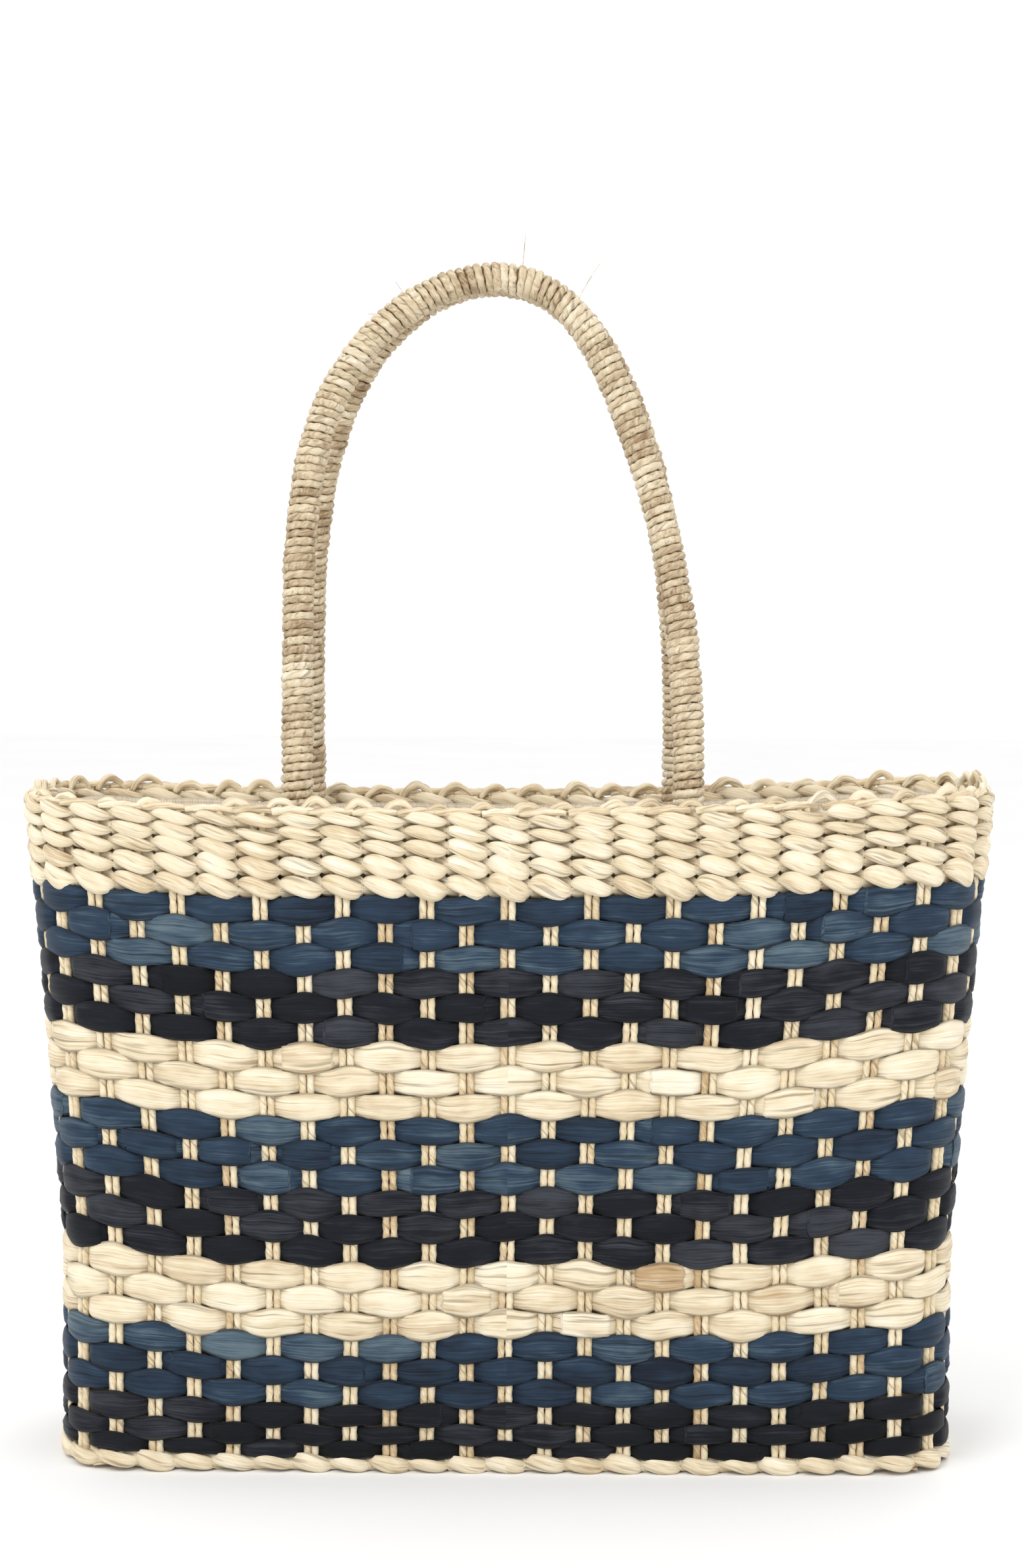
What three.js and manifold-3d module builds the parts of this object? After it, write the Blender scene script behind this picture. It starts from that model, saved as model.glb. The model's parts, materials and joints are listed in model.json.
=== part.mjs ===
// A woven market basket: flat plant-leaf strips woven over and under upright stakes, a twined band and a
// folded border at the rim, a cloth lining, and two arched, cord-wrapped handles that fold outwards.
// Millimetres, +Z up, +X along the basket's length, the front at -Y. The origin is on the ground, under
// the middle of the base.
import * as THREE from "three";
import { mergeVertices } from "three/addons/utils/BufferGeometryUtils.js";
import Module from "manifold-3d";

const wasm = await Module();
wasm.setup();

// ---------------------------------------------------------------- driving dimensions

// Plan outlines, measured to the middle of the wall: two flat long sides, and an end that bulges from one
// flat side round to the other. Squareness runs from 0.55 for a round end to 1 for a square one.
const base = { halfLength: 184, halfDepth: 54, halfFlat: 152, squareness: 0.8 };
const rim = { halfLength: 201, halfDepth: 58, halfFlat: 156, squareness: 0.72 };
const flareHeight = 96; // the walls stand upright below this, and flare above it
const rimRise = 6; // how much higher the rim is at the two ends than at mid length

// Stakes: each pair of twisted cords is one rod of the same cross-section.
const stakeCount = 56; // a multiple of four, so that each side has one in its middle
const stakeRadius = 2.3;
const weaveGap = 0.3; // clearance between pieces that touch in the real weave

// Weft: one flat strip a row, over one stake and under the next.
const weftRows = 24;
const weftPitch = 9.75;
const weftThickness = 1;
const steepestCrossing = Math.PI / 4; // the strip's slope where it crosses at a corner

// Twined band: an outer and an inner strand a row, from the lowest row up.
const twinedRowHeights = [8.7, 8, 6.6, 5.8, 5.4];
const borderHeight = 3.5;

// Base
const footRopeHeight = 6.2;
const footRopeThickness = 4.2;
const baseMatThickness = 3;
const baseStakeThickness = 2;

// Lining
const liningThickness = 1.2;
const liningBelowRim = 3;
const pocketBelowTail = 12; // how far under a handle's tail the lining returns to the wall

// Handles
const handleRadius = 6.7;
const handleCoreRadius = 3.8;
const handleHalfWidth = 81;
const handleRise = 213; // pivot to the crown's centre line
const handleShift = -7; // the handles sit a little off the basket's middle
const handleSway = { front: -8, back: -4 }; // how far each arch leans to one side
const swayPower = 2.2; // higher brings that lean nearer the crown
const archPowerX = 2.05;
const archPowerZ = 2.9;
const tailLength = 46; // how far each handle end runs down behind the twined band
const lashingThickness = 1.2;
const lashingHeight = 11;
const foldClearance = 0.7;

// Facets
const stakeSides = 6;
const tubeSides = 8;
const archSteps = 24;
const plainStep = 4; // a ring that isn't woven skips all but every 4th stake along the flat sides

const colours = {
  natural: 0xd9c49c,
  blue: 0x2c4a63,
  black: 0x1b1f2b,
  cord: 0xcdb88f,
  core: 0xb99b6b,
  linen: 0xb3a596,
};

// ---------------------------------------------------------------- what follows from them

const bandBottom = footRopeHeight + weaveGap + weftRows * weftPitch;
const bodyHeight = bandBottom + twinedRowHeights.reduce((sum, height) => sum + height, 0);
const weftSwing = (stakeRadius + weaveGap + weftThickness / 2) / Math.cos(steepestCrossing);
const wallHalf = weftSwing + weftThickness / 2;

// How far the pieces at height z rise towards the basket's two ends.
const riseAt = (x, z) => ((rimRise * z) / bodyHeight) * (x / rim.halfLength) ** 2;

// ---------------------------------------------------------------- the wall's surface

// One plan outline, as a point for each stake, evenly spaced anticlockwise from the middle of the front.
function stakeOutline({ halfLength, halfDepth, halfFlat, squareness }) {
  const shape = new THREE.Shape();
  const nearX = halfFlat + squareness * (halfLength - halfFlat);
  const nearY = squareness * halfDepth;
  shape.moveTo(0, -halfDepth);
  for (const s of [1, -1]) {
    shape.lineTo(s * halfFlat, -s * halfDepth);
    shape.bezierCurveTo(s * nearX, -s * halfDepth, s * halfLength, -s * nearY, s * halfLength, 0);
    shape.bezierCurveTo(s * halfLength, s * nearY, s * nearX, s * halfDepth, s * halfFlat, s * halfDepth);
  }
  shape.lineTo(0, -halfDepth);
  return shape.getSpacedPoints(stakeCount).slice(0, stakeCount);
}

const baseOutline = stakeOutline(base);
const rimOutline = stakeOutline(rim);

// The wall's middle line at height z: upright to flareHeight, then straight out to the rim.
function outlineAt(z) {
  const share = Math.max(0, (z - flareHeight) / (bodyHeight - flareHeight));
  return baseOutline.map((p, k) => p.clone().lerp(rimOutline[k], share));
}

// That line moved outwards by a distance that may differ from stake to stake.
function offsetOutline(points, distance) {
  return points.map((p, k) => {
    const into = p.clone().sub(points.at(k - 1)).normalize();
    const outOf = points[(k + 1) % points.length].clone().sub(p).normalize();
    const along = into.clone().add(outOf).normalize();
    const by = (typeof distance === "function" ? distance(k) : distance) / along.dot(into);
    return new THREE.Vector2(p.x + along.y * by, p.y - along.x * by);
  });
}

// The stakes that a ring with no weave needs: all of them round the ends, and a few along the flat sides.
const flatStakes = Math.floor((stakeCount / 4) * (base.halfFlat / (base.halfLength + base.halfDepth)));
const plainStakes = [...Array(stakeCount).keys()].filter((k) => {
  const past = k % (stakeCount / 2);
  const fromMiddle = Math.min(past, stakeCount / 2 - past);
  return fromMiddle > flatStakes || fromMiddle % plainStep === 0;
});
const wallOutline = (z, distance) => offsetOutline(outlineAt(z), distance);
const plainOutline = (z, distance) => {
  const all = wallOutline(z, distance);
  return plainStakes.map((k) => all[k]);
};

// How far the stakes that such a ring skips stand out beyond its straight stretches.
const plainSag = Math.max(
  ...[baseOutline, rimOutline].flatMap((points) =>
    plainStakes.flatMap((from, i) => {
      const to = plainStakes[i + 1] ?? stakeCount;
      const along = points[to % stakeCount].clone().sub(points[from]).normalize();
      return points.slice(from, to).map((p) => Math.abs(p.clone().sub(points[from]).cross(along)));
    }),
  ),
);

// ---------------------------------------------------------------- solids

// A closed solid through a stack of outlines with the same number of points.
function loft(layers) {
  const first = layers[0].points;
  const key = (x, y) => x.toFixed(3) + "," + y.toFixed(3);
  const places = new Map(first.map((p, i) => [key(p.x, p.y), i]));
  const steps = layers.length - 1;
  const shape = new THREE.Shape(first);
  const geometry = new THREE.ExtrudeGeometry(shape, { depth: steps, steps, bevelEnabled: false });
  const position = geometry.getAttribute("position");
  for (let i = 0; i < position.count; i++) {
    const layer = layers[Math.round(position.getZ(i))];
    const p = layer.points[places.get(key(position.getX(i), position.getY(i)))];
    position.setXYZ(i, p.x, p.y, layer.z);
  }
  return geometry;
}

// A closed ring through its four edges, given from the lower outer one, upwards and inwards.
function ring(edges) {
  const count = edges[0].points.length;
  const geometry = new THREE.TorusGeometry(2, 1, edges.length, count);
  const position = geometry.getAttribute("position");
  for (let i = 0; i < position.count; i++) {
    const { z, points } = edges[Math.floor(i / (count + 1)) % edges.length];
    const p = points[i % (count + 1) % count];
    position.setXYZ(i, p.x, p.y, z);
  }
  return geometry;
}

// A ring that leans with the wall, between two distances from its middle line.
function wallRing(outer, inner, z, height, outline = plainOutline) {
  const edges = [
    [z, outer],
    [z + height, outer],
    [z + height, inner],
    [z, inner],
  ];
  return ring(edges.map(([at, distance]) => ({ z: at, points: outline(at, distance) })));
}

// Lifts a piece of the wall towards the basket's ends, as the rim lies.
function raised(geometry) {
  const position = geometry.getAttribute("position");
  for (let i = 0; i < position.count; i++) {
    const z = position.getZ(i);
    position.setZ(i, z + riseAt(position.getX(i), z));
  }
  return geometry;
}

function toSolid(geometry) {
  const bare = geometry.clone();
  bare.deleteAttribute("normal");
  bare.deleteAttribute("uv");
  const merged = mergeVertices(bare, 1e-3);
  const vertProperties = new Float32Array(merged.getAttribute("position").array);
  const triVerts = new Uint32Array(merged.index.array);
  return new wasm.Manifold(new wasm.Mesh({ numProp: 3, vertProperties, triVerts }));
}

function toGeometry(solid) {
  const { vertProperties, triVerts } = solid.getMesh();
  return new THREE.BufferGeometry()
    .setAttribute("position", new THREE.BufferAttribute(vertProperties, 3))
    .setIndex(new THREE.BufferAttribute(triVerts, 1));
}

const polygon = (radius, sides, centre = new THREE.Vector2(), turn = 0) =>
  Array.from({ length: sides }, (_, i) => {
    const angle = (2 * Math.PI * (i + turn)) / sides;
    return new THREE.Vector2(centre.x + radius * Math.cos(angle), centre.y + radius * Math.sin(angle));
  });

const basket = new THREE.Group();

function addPiece(name, geometry, colour, parent = basket) {
  const material = new THREE.MeshStandardMaterial({ color: colour, roughness: 0.85, metalness: 0 });
  const mesh = new THREE.Mesh(geometry, material);
  mesh.name = name;
  parent.add(mesh);
  return mesh;
}

// ---------------------------------------------------------------- base

const stakeFloor = baseMatThickness + weaveGap;
const stakeFloorTop = stakeFloor + baseStakeThickness;
const floorReach = 0.7 * stakeRadius; // how far the stakes' floor runs out past their middles

function addBase() {
  const mat = offsetOutline(baseOutline, stakeRadius - weaveGap);
  const matPoints = plainStakes.map((k) => mat[k]);
  const layers = [0, baseMatThickness].map((z) => ({ z, points: matPoints }));
  addPiece("base_mat", loft(layers), colours.natural);

  const inside = stakeRadius + plainSag + weaveGap;
  const rope = wallRing(inside + footRopeThickness, inside, 0, footRopeHeight);
  addPiece("foot_rope", rope, colours.natural);
}

// The stakes run across under the lining and up both walls. Side by side under the lining they are one
// sheet, and each wall stake is a rod that rises from it and bends outwards at flareHeight.
function addStakes() {
  const floor = offsetOutline(baseOutline, floorReach);
  const floorPoints = plainStakes.map((k) => floor[k]);
  const layers = [stakeFloor, stakeFloorTop].map((z) => ({ z, points: floorPoints }));
  let cage = toSolid(loft(layers));
  const heights = [(stakeFloor + stakeFloorTop) / 2, flareHeight, bodyHeight - weaveGap];
  for (let k = 0; k < stakeCount; k++) {
    const rod = heights.map((z) => ({ z, points: polygon(stakeRadius, stakeSides, outlineAt(z)[k], 0.5) }));
    cage = cage.add(toSolid(loft(rod)));
  }
  addPiece("warp_stakes", raised(toGeometry(cage)), colours.cord);
}

// ---------------------------------------------------------------- wall

const stripeOf = (row) => ["black", "blue", "natural"][Math.floor((row - 1) / 3) % 3];

function addWeft() {
  for (let row = 1; row <= weftRows; row++) {
    const z = footRopeHeight + weaveGap + (row - 1) * weftPitch;
    const swing = (k) => ((k + row) % 2 ? weftSwing : -weftSwing);
    const outer = (k) => swing(k) + weftThickness / 2;
    const inner = (k) => swing(k) - weftThickness / 2;
    const strip = wallRing(outer, inner, z, weftPitch - weaveGap, wallOutline);
    addPiece(`weft_row_${String(row).padStart(2, "0")}`, raised(strip), colours[stripeOf(row)]);
  }
}

function addTwinedBand() {
  const near = stakeRadius + plainSag + weaveGap;
  let z = bandBottom;
  twinedRowHeights.forEach((height, i) => {
    const outside = wallRing(wallHalf, near, z, height - weaveGap);
    const inside = wallRing(-near, -wallHalf, z, height - weaveGap);
    addPiece(`twined_row_${i + 1}_outer`, raised(outside), colours.natural);
    addPiece(`twined_row_${i + 1}_inner`, raised(inside), colours.natural);
    z += height;
  });
  addPiece("rim_border", raised(wallRing(wallHalf, -wallHalf, z, borderHeight)), colours.natural);
}

// ---------------------------------------------------------------- where the handles go

const legX = [handleShift - handleHalfWidth, handleShift + handleHalfWidth];
const borderTop = bodyHeight + borderHeight;
const borderTopAtLegs = borderTop + Math.max(...legX.map((x) => riseAt(x, borderTop)));
const pivotZ = borderTopAtLegs + foldClearance + handleRadius;
const tailTop = pivotZ - handleRadius - weaveGap;
const tailBottom = bodyHeight - tailLength;
const wallDepthAtTail = Math.max(...outlineAt(tailBottom).map((p) => p.y));
const legY = wallDepthAtTail - wallHalf - 2 * weaveGap - lashingThickness - handleRadius;
const crownY = handleRadius + weaveGap / 2; // the two crowns lean in until they touch
const lean = Math.atan2(legY - crownY, handleRise);

const sides = [
  { name: "front", sign: -1 },
  { name: "back", sign: 1 },
];
const ends = [
  { name: "left", x: legX[0] },
  { name: "right", x: legX[1] },
];

// ---------------------------------------------------------------- lining

// The space that the lining leaves behind it for one handle tail, grown by a distance on every side. It
// opens from a line on the wall below the tail to its full depth at the tail's end.
function pocket(x, sign, grow) {
  const reach = handleRadius + 2 * weaveGap + lashingThickness + grow;
  const wallY = rim.halfDepth;
  const plan = (halfWidth, innerY) => {
    const corners = [
      [x - 1.6 * halfWidth, wallY],
      [x - halfWidth, innerY],
      [x + halfWidth, innerY],
      [x + 1.6 * halfWidth, wallY],
    ].map(([px, py]) => new THREE.Vector2(px, sign * py));
    return sign > 0 ? corners : corners.reverse();
  };
  const widest = plan(reach, legY - reach);
  return toSolid(
    loft([
      { z: tailBottom - pocketBelowTail - grow, points: plan(reach - grow, wallY - 1) },
      { z: tailBottom - weaveGap - grow, points: widest },
      { z: bodyHeight, points: widest },
    ]),
  );
}

function addLining() {
  const clear = wallHalf + 2 * weaveGap;
  const top = bodyHeight - liningBelowRim;
  const bottom = stakeFloorTop + weaveGap;
  const hollow = (distance, from, to) => {
    const heights = [from, flareHeight, (flareHeight + bandBottom) / 2, bandBottom, to];
    return toSolid(loft(heights.map((z) => ({ z, points: plainOutline(z, -distance) }))));
  };
  let outer = hollow(clear, bottom, top);
  let inner = hollow(clear + liningThickness, bottom + liningThickness, top + 1);
  for (const { sign } of sides)
    for (const { x } of ends) {
      outer = outer.subtract(pocket(x, sign, 0));
      inner = inner.subtract(pocket(x, sign, liningThickness));
    }
  addPiece("lining", raised(toGeometry(outer.subtract(inner))), colours.linen);
}

// ---------------------------------------------------------------- handles

// Half a superellipse standing on its two ends, drawn in the plane of one handle.
class Arch extends THREE.Curve {
  constructor(rise, sway) {
    super();
    this.rise = rise;
    this.sway = sway;
  }
  getPoint(t, target = new THREE.Vector3()) {
    const angle = Math.PI * (1 - t);
    const across = Math.sign(Math.cos(angle)) * Math.abs(Math.cos(angle)) ** (2 / archPowerX);
    const up = Math.abs(Math.sin(angle)) ** (2 / archPowerZ);
    const sway = this.sway * Math.sin(Math.PI * up ** swayPower);
    return target.set(handleHalfWidth * across + sway, 0, this.rise * up);
  }
}

function tube(arch, radius, holeRadius) {
  const shape = new THREE.Shape(polygon(radius, tubeSides));
  if (holeRadius) shape.holes.push(new THREE.Path(polygon(holeRadius, tubeSides)));
  return new THREE.ExtrudeGeometry(shape, { extrudePath: arch, steps: archSteps, bevelEnabled: false });
}

// The rounded foot that a handle turns on where it bends over the rim.
function foot(x) {
  const profile = [new THREE.Vector2(0, -handleRadius)];
  const turns = 4;
  for (let i = 1; i < turns; i++) {
    const angle = (Math.PI / 2) * (i / turns);
    profile.push(new THREE.Vector2(handleRadius * Math.sin(angle), -handleRadius * Math.cos(angle)));
  }
  profile.push(new THREE.Vector2(handleRadius, -weaveGap));
  profile.push(new THREE.Vector2(handleCoreRadius * 0.9, -weaveGap));
  profile.push(new THREE.Vector2(handleCoreRadius * 0.9, handleCoreRadius));
  profile.push(new THREE.Vector2(0, handleCoreRadius));
  return new THREE.LatheGeometry(profile, tubeSides).rotateX(Math.PI / 2).translate(x, 0, 0);
}

function addHandle({ name, sign }) {
  const plane = new THREE.Group();
  plane.position.set(handleShift, sign * legY, pivotZ);
  plane.rotation.x = sign * lean;
  basket.add(plane);
  const arch = new Arch(handleRise / Math.cos(lean), handleSway[name]);
  addPiece(`handle_${name}_wrap`, tube(arch, handleRadius, handleCoreRadius + weaveGap), colours.cord, plane);
  const feet = [-handleHalfWidth, handleHalfWidth].map((x) => toSolid(foot(x)));
  const core = toSolid(tube(arch, handleCoreRadius)).add(feet[0]).add(feet[1]);
  addPiece(`handle_${name}_core`, toGeometry(core), colours.core, plane);
}

// The end of a handle behind the twined band, and the stitching that holds it to the wall.
function addTail(side, end) {
  const at = new THREE.Vector3(end.x, side.sign * legY, 0);
  const upright = (geometry, z) => geometry.rotateX(Math.PI / 2).translate(at.x, at.y, z);
  const tail = new THREE.CylinderGeometry(handleRadius, handleRadius, tailTop - tailBottom, tubeSides);
  const name = `${side.name}_${end.name}`;
  addPiece(`handle_tail_${name}`, upright(tail, (tailTop + tailBottom) / 2), colours.cord);

  const inner = polygon(handleRadius + weaveGap, tubeSides, at);
  const outer = polygon(handleRadius + weaveGap + lashingThickness, tubeSides, at);
  const low = tailBottom + tailLength / 2 - lashingHeight / 2;
  const high = low + lashingHeight;
  const lashing = ring([
    { z: low, points: outer },
    { z: high, points: outer },
    { z: high, points: inner },
    { z: low, points: inner },
  ]);
  addPiece(`tail_lashing_${name}`, lashing, colours.natural);
}

addBase();
addStakes();
addWeft();
addTwinedBand();
addLining();
for (const side of sides) {
  addHandle(side);
  for (const end of ends) addTail(side, end);
}

export default basket;
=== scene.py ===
"""A woven market basket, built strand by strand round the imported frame. Blender 4.5, metres, +Z up."""
import json
import math

import bpy
import numpy as np
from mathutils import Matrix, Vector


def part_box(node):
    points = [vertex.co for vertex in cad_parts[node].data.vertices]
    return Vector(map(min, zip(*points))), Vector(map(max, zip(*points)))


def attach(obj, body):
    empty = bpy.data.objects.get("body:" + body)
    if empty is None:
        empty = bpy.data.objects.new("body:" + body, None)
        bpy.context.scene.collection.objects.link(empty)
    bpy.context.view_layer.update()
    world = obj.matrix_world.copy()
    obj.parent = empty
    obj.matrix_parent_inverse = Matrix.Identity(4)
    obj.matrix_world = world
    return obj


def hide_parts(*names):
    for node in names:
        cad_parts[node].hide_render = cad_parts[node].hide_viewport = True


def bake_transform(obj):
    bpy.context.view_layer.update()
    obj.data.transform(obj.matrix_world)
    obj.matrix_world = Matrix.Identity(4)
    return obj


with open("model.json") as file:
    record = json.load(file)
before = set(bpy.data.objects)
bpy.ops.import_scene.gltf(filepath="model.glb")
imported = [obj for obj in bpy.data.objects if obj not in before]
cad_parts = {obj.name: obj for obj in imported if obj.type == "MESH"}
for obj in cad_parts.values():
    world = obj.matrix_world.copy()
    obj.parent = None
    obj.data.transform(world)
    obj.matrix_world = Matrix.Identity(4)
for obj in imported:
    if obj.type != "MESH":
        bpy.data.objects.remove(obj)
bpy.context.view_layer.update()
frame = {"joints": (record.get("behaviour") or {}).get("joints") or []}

MM = 0.001
TAU = 2 * math.pi

# ---------------------------------------------------------------- sizes, from the frame

STAKES = 56
WEFT_ROWS = 24
TWINED_ROWS = 5
WALL_HALF = 4.88 * MM  # from the wall's middle line to the outermost strand
STAKE_CORD_RADIUS = 1.66 * MM
FLARE_HEIGHT = 96 * MM  # the walls stand upright below this
RIM_RISE = 6 * MM  # how much higher the rim is at the basket's ends
RIM_TILT = 2.2 * MM  # and how much higher still at the right end, and lower at the left


def low(node):
    return np.array(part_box(node)[0])


def high(node):
    return np.array(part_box(node)[1])


MAT_INSET = 2 * MM
BASE_SPREAD = np.array([2 * MM, 0, 0])  # the ends bulge a little over the foot rope
BASE = high("base_mat") - MAT_INSET + BASE_SPREAD  # half length and half depth of the wall's middle line
BASE_HALF_FLAT = 152 * MM  # half the straight stretch of the long side
BASE_SQUARENESS = 0.8
RIM = high("rim_border") - WALL_HALF  # the same at the rim
RIM_HALF_FLAT = 156 * MM
RIM_SQUARENESS = 0.72
FOOT_TOP = high("foot_rope")[2]
BAND_BOTTOM = low("twined_row_1_outer")[2]
BODY_TOP = low("rim_border")[2]
PIVOT = {j["child"]: np.array(j["pos_m"]) for j in frame["joints"]}
TAIL_LEFT = (low("handle_tail_front_left") + high("handle_tail_front_left")) / 2
TAIL_RIGHT = (low("handle_tail_front_right") + high("handle_tail_front_right")) / 2
TAIL_BOTTOM = low("handle_tail_front_left")[2]
HANDLE_RADIUS = (high("handle_tail_front_left") - low("handle_tail_front_left"))[0] / 2

# ---------------------------------------------------------------- the wall's surface


def distance_along(path):
    """How far each point of a path lies from its start, along the path."""
    return np.concatenate([[0], np.cumsum(np.linalg.norm(np.diff(path, axis=0), axis=1))])


def outline(half_length, half_depth, half_flat, squareness, count=80 * STAKES):
    """Points evenly spaced along one plan outline, anticlockwise from the middle of the front."""
    near_x = half_flat + squareness * (half_length - half_flat)
    near_y = squareness * half_depth
    t = np.linspace(0, 1, 300)[:, None]

    def bezier(*corners):
        a, b, c, d = (np.array(p, float) for p in corners)
        return (1 - t) ** 3 * a + 3 * (1 - t) ** 2 * t * b + 3 * (1 - t) * t**2 * c + t**3 * d

    parts = []
    for s in (1, -1):
        flat_start, flat_end = [[-s * half_flat, -s * half_depth]], [[s * half_flat, -s * half_depth]]
        parts.append(np.array(flat_start) * (1 - t) + t * flat_end)
        parts.append(bezier((s * half_flat, -s * half_depth), (s * near_x, -s * half_depth),
                            (s * half_length, -s * near_y), (s * half_length, 0)))
        parts.append(bezier((s * half_length, 0), (s * half_length, s * near_y),
                            (s * near_x, s * half_depth), (s * half_flat, s * half_depth)))
    path = np.concatenate(parts)
    along = distance_along(path)
    want = np.linspace(0, along[-1], count, endpoint=False) + half_flat
    want = np.mod(want, along[-1])
    return np.stack([np.interp(want, along, path[:, i]) for i in (0, 1)], axis=1)


BASE_LINE = outline(BASE[0], BASE[1], BASE_HALF_FLAT, BASE_SQUARENESS)
RIM_LINE = outline(RIM[0], RIM[1], RIM_HALF_FLAT, RIM_SQUARENESS)


def around(line, stake):
    """Points of a closed line at stake coordinates, where stake 0 is the middle of the front."""
    at = np.mod(np.asarray(stake, float) / STAKES, 1) * len(line)
    i = np.floor(at).astype(int) % len(line)
    f = (at - np.floor(at))[..., None]
    return line[i] * (1 - f) + line[(i + 1) % len(line)] * f


def wall(stake, z, out=0.0):
    """Points on the wall, out metres outside its middle line."""
    stake, z, out = np.broadcast_arrays(np.asarray(stake, float), z, out)
    share = (np.maximum(0, z - FLARE_HEIGHT) / (BODY_TOP - FLARE_HEIGHT))[..., None]
    step = 0.12  # in stakes, to either side, for the wall's direction

    def at(s):
        return around(BASE_LINE, s) * (1 - share) + around(RIM_LINE, s) * share

    p = at(stake)
    along = at(stake + step) - at(stake - step)
    along /= np.linalg.norm(along, axis=-1, keepdims=True)
    x = p[..., 0] + along[..., 1] * out
    y = p[..., 1] - along[..., 0] * out
    rise = z / BODY_TOP * (RIM_RISE * (x / RIM[0]) ** 2 + RIM_TILT * x / RIM[0])
    return np.stack([x, y, z + rise], axis=-1)


# ---------------------------------------------------------------- meshes


class Skin:
    """Gathers strands, each a loft of closed sections, into one mesh."""

    def __init__(self):
        self.points, self.quads, self.caps = [], [], []
        self.quad_uvs, self.cap_uvs, self.tints = [], [], []
        self.count = 0

    def strand(self, rings, width, tint=0.5, closed=False):
        """rings[i][j] is point j of section i. UVs are in metres: u runs along, and v runs round to width."""
        n, m = rings.shape[:2]
        middle = rings.mean(axis=1)
        steps = np.linalg.norm(np.diff(middle, axis=0), axis=1)
        closing = np.linalg.norm(middle[0] - middle[-1]) if closed else 0
        along = np.concatenate([[0], np.cumsum(steps), [np.sum(steps) + closing]])
        across = np.linspace(0, width, m + 1)
        i = np.arange(n if closed else n - 1)[:, None]
        j = np.arange(m)[None, :]
        k, l = (i + 1) % n, (j + 1) % m

        def corners(*values):
            whole = [np.broadcast_to(value, (len(i), m)) for value in values]
            return np.stack(whole, axis=-1).reshape(-1, 4)

        quads = corners(i * m + j, i * m + l, k * m + l, k * m + j)
        u = corners(along[i], along[i], along[i + 1], along[i + 1])
        v = corners(across[j], across[j + 1], across[j + 1], across[j])
        p = rings.reshape(-1, 3) - middle.mean(axis=0)
        a, b, c, d = (p[quads[:, x]] for x in range(4))
        volume = (a * np.cross(b, c)).sum() + (a * np.cross(c, d)).sum()
        flip = volume < 0
        if flip:
            quads, u, v = quads[:, ::-1], u[:, ::-1], v[:, ::-1]
        self.quads.append(quads + self.count)
        self.quad_uvs.append(np.stack([u, v], axis=-1))
        if not closed:
            ends = [np.arange(m)[::-1], (n - 1) * m + np.arange(m)]
            for end, place in zip(ends, (along[0], along[n - 1])):
                end = end[::-1] if flip else end
                self.caps.append(end + self.count)
                self.cap_uvs.append(np.stack([np.full(m, place), across[end % m]], axis=-1))
        self.points.append(rings.reshape(-1, 3))
        self.tints.append(np.repeat(np.broadcast_to(tint, (n,)), m))
        self.count += n * m
        return self

    def build(self, name, material, slot, body="basket", nodes=()):
        """One object of all the strands."""
        quads = np.concatenate(self.quads)
        loops = np.concatenate([quads.ravel()] + self.caps)
        uvs = np.concatenate([np.concatenate(self.quad_uvs).reshape(-1, 2)] + self.cap_uvs)
        sizes = np.concatenate([np.full(len(quads), 4), [len(c) for c in self.caps]]).astype(int)
        points = np.concatenate(self.points)
        mesh = bpy.data.meshes.new(name)
        mesh.vertices.add(len(points))
        mesh.vertices.foreach_set("co", points.ravel().astype(np.float32))
        mesh.loops.add(len(loops))
        mesh.loops.foreach_set("vertex_index", loops.astype(np.int32))
        mesh.polygons.add(len(sizes))
        mesh.polygons.foreach_set("loop_start", np.concatenate([[0], np.cumsum(sizes)[:-1]]).astype(np.int32))
        mesh.update(calc_edges=True)
        mesh.shade_smooth()
        layer = mesh.uv_layers.new(name="strand")
        layer.data.foreach_set("uv", uvs.ravel().astype(np.float32))
        attribute = mesh.attributes.new("tint", "FLOAT", "POINT")
        attribute.data.foreach_set("value", np.concatenate(self.tints).astype(np.float32))
        mesh.materials.append(material)
        mesh.validate()
        obj = bpy.data.objects.new(name, mesh)
        bpy.context.collection.objects.link(obj)
        if body:
            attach(obj, body)
        if nodes:
            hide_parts(*nodes)
        return obj


def smooth_noise(rng, count, scale, closed=True):
    """count values of about unit size that wander over scale samples."""
    knots = max(4, int(round(count / scale)))
    values = rng.normal(size=knots)
    if closed:
        at = np.arange(count) * knots / count
        i = np.floor(at).astype(int)
        f = at - i
        f = f * f * (3 - 2 * f)
        return values[i % knots] * (1 - f) + values[(i + 1) % knots] * f
    at = np.linspace(0, knots - 1, count)
    return np.interp(at, np.arange(knots), values)


def frames(path):
    """Unit tangents and two normals along a path, carried without twist."""
    tangent = np.gradient(path, axis=0)
    tangent /= np.linalg.norm(tangent, axis=1, keepdims=True)
    first = np.cross(tangent[0], [0.0, 0.0, 1.0])
    if np.linalg.norm(first) < 0.1:  # the path starts upright
        first = np.cross(tangent[0], [0.0, 1.0, 0.0])
    normals = [first / np.linalg.norm(first)]
    for t in tangent[1:]:
        n = normals[-1] - t * np.dot(normals[-1], t)
        normals.append(n / np.linalg.norm(n))
    normals = np.array(normals)
    return tangent, normals, np.cross(tangent, normals)


def ply_radius(angle, spin, lobe):
    """The radius of a section of two plies, as a share of the cord's. It dips by lobe between them."""
    return 1 - lobe + lobe * np.abs(np.cos(angle - spin)) ** 0.8


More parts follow.
